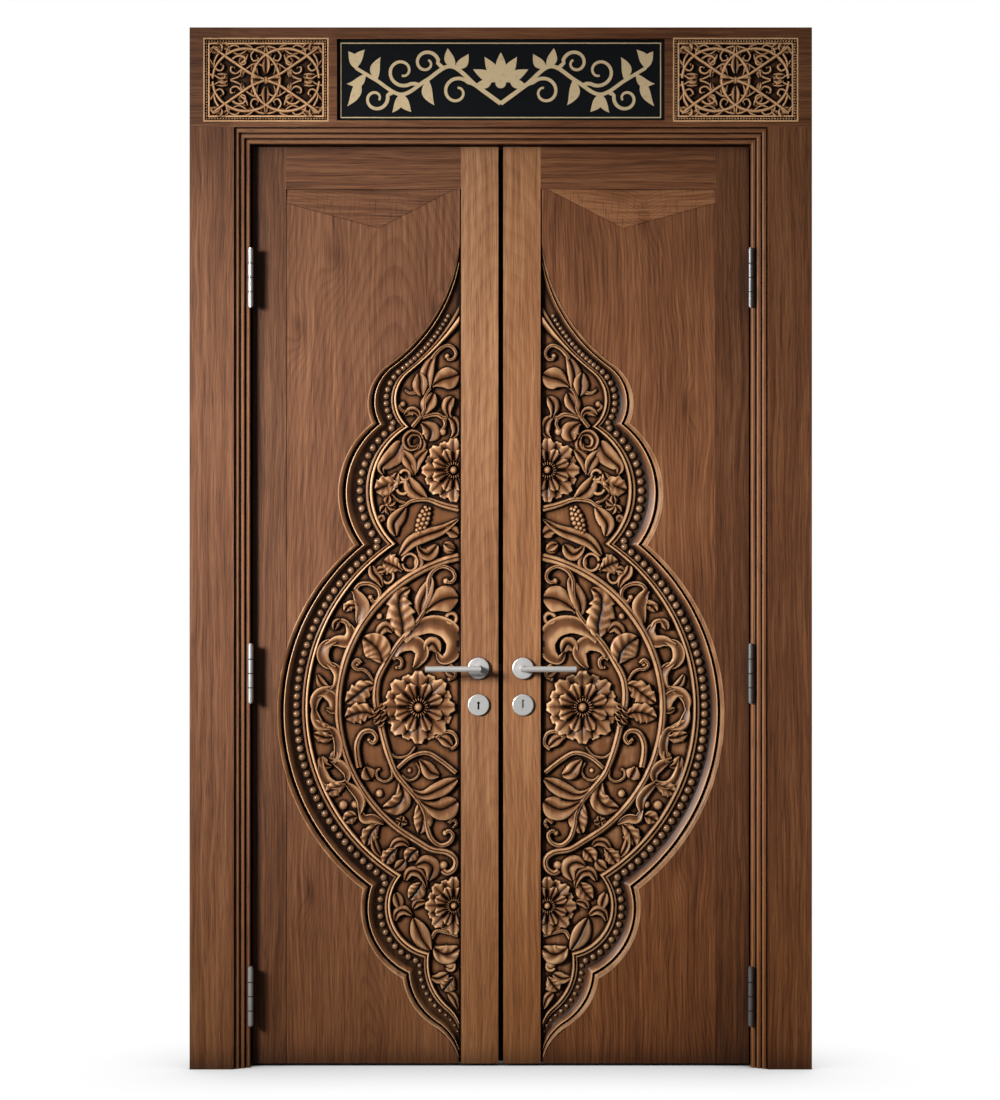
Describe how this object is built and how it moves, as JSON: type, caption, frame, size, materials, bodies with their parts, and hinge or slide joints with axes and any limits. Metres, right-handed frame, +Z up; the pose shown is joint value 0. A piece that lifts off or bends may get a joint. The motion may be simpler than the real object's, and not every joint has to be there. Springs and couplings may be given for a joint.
{
  "type": "carved double door with frame",
  "caption": "Carved wooden double door in a stepped frame with carved lintel: leaves swing open, lever handles, latch, dead bolt and flush bolts move.",
  "frame": {"origin": "floor, middle of the opening, middle of the leaf thickness", "axes": "+Z up, +X to the right seen from the front, the front looks along -Y"},
  "size_m": [1.5, 0.165, 2.5115],
  "materials": {
    "walnut": "satin oil",
    "panel_walnut": "satin oil, cathedral grain",
    "light_walnut": "satin oil, straight grain",
    "carved_walnut": "oiled carving with dark ground",
    "bead_walnut": "oiled",
    "dark_lacquer": "dark matt lacquer",
    "gilt": "gilt",
    "brush_fibre": "black bristle",
    "satin_steel": "satin"
  },
  "bodies": {
    "frame": {"left_casing": "walnut", "right_casing": "walnut", "left_jamb": "walnut", "right_jamb": "walnut", "head_jamb": "walnut", "lintel_board": "walnut", "left_lintel_carving": "carved_walnut", "right_lintel_carving": "carved_walnut", "centre_panel": "dark_lacquer", "gilt_fillet": "gilt", "gilt_scrollwork": "gilt", "left_frame_hinges": "satin_steel", "right_frame_hinges": "satin_steel", "left_hinge_pins": "satin_steel", "right_hinge_pins": "satin_steel", "head_keep": "satin_steel"},
    "left_leaf": {"left_hinge_stile": "walnut", "left_meeting_stile": "light_walnut", "left_top_rail": "walnut", "left_panel": "panel_walnut", "left_carving": "carved_walnut", "left_beads": "bead_walnut", "left_leaf_hinges": "satin_steel", "left_front_rose": "satin_steel", "left_back_rose": "satin_steel", "left_front_keyplate": "satin_steel", "left_back_keyplate": "satin_steel", "lock_case": "satin_steel", "lock_forend": "satin_steel", "meeting_brush": "brush_fibre"},
    "left_lever": {"left_front_lever": "satin_steel", "left_back_lever": "satin_steel", "left_spindle": "satin_steel"},
    "latch": {"latch_bolt": "satin_steel"},
    "lock_bolt": {"dead_bolt": "satin_steel"},
    "right_leaf": {"right_hinge_stile": "walnut", "right_meeting_stile": "light_walnut", "right_top_rail": "walnut", "right_panel": "panel_walnut", "right_carving": "carved_walnut", "right_beads": "bead_walnut", "right_leaf_hinges": "satin_steel", "right_front_rose": "satin_steel", "right_back_rose": "satin_steel", "right_front_keyplate": "satin_steel", "right_back_keyplate": "satin_steel", "strike_plate": "satin_steel", "top_flush_plate": "satin_steel", "bottom_flush_plate": "satin_steel"},
    "right_lever": {"right_front_lever": "satin_steel", "right_back_lever": "satin_steel", "right_spindle": "satin_steel"},
    "top_bolt": {"top_flush_bolt": "satin_steel"},
    "bottom_bolt": {"bottom_flush_bolt": "satin_steel"}
  },
  "joints": [
    {"name": "left_leaf_swing", "type": "hinge", "parent": "frame", "child": "left_leaf", "pos_m": [-0.604, -0.054, 0], "axis": [0, 0, -1], "range_deg": [0, 110], "deforming": ["meeting_brush"]},
    {"name": "right_leaf_swing", "type": "hinge", "parent": "frame", "child": "right_leaf", "pos_m": [0.604, -0.054, 0], "axis": [0, 0, 1], "range_deg": [0, 110], "deforming": ["meeting_brush"]},
    {"name": "left_lever_turn", "type": "hinge", "parent": "left_leaf", "child": "left_lever", "pos_m": [-0.054, 0, 0.965], "axis": [0, -1, 0], "range_deg": [0, 35], "stiffness_Nm_per_rad": 3, "springref_deg": -8.59},
    {"name": "latch_slide", "type": "slide", "parent": "left_leaf", "child": "latch", "axis": [-1, 0, 0], "range_m": [0, 0.0085]},
    {"name": "dead_bolt_slide", "type": "slide", "parent": "left_leaf", "child": "lock_bolt", "axis": [1, 0, 0], "range_m": [0, 0.018]},
    {"name": "right_lever_turn", "type": "hinge", "parent": "right_leaf", "child": "right_lever", "pos_m": [0.054, 0, 0.965], "axis": [0, 1, 0], "range_deg": [0, 35], "stiffness_Nm_per_rad": 3, "springref_deg": -8.59},
    {"name": "top_bolt_slide", "type": "slide", "parent": "right_leaf", "child": "top_bolt", "axis": [0, 0, 1], "range_m": [0, 0.015]},
    {"name": "bottom_bolt_slide", "type": "slide", "parent": "right_leaf", "child": "bottom_bolt", "axis": [0, 0, -1], "range_m": [0, 0.015]}
  ],
  "couplings": [
    {"joint": "latch_slide", "follows": "left_lever_turn", "m_per_rad": 0.0138}
  ]
}
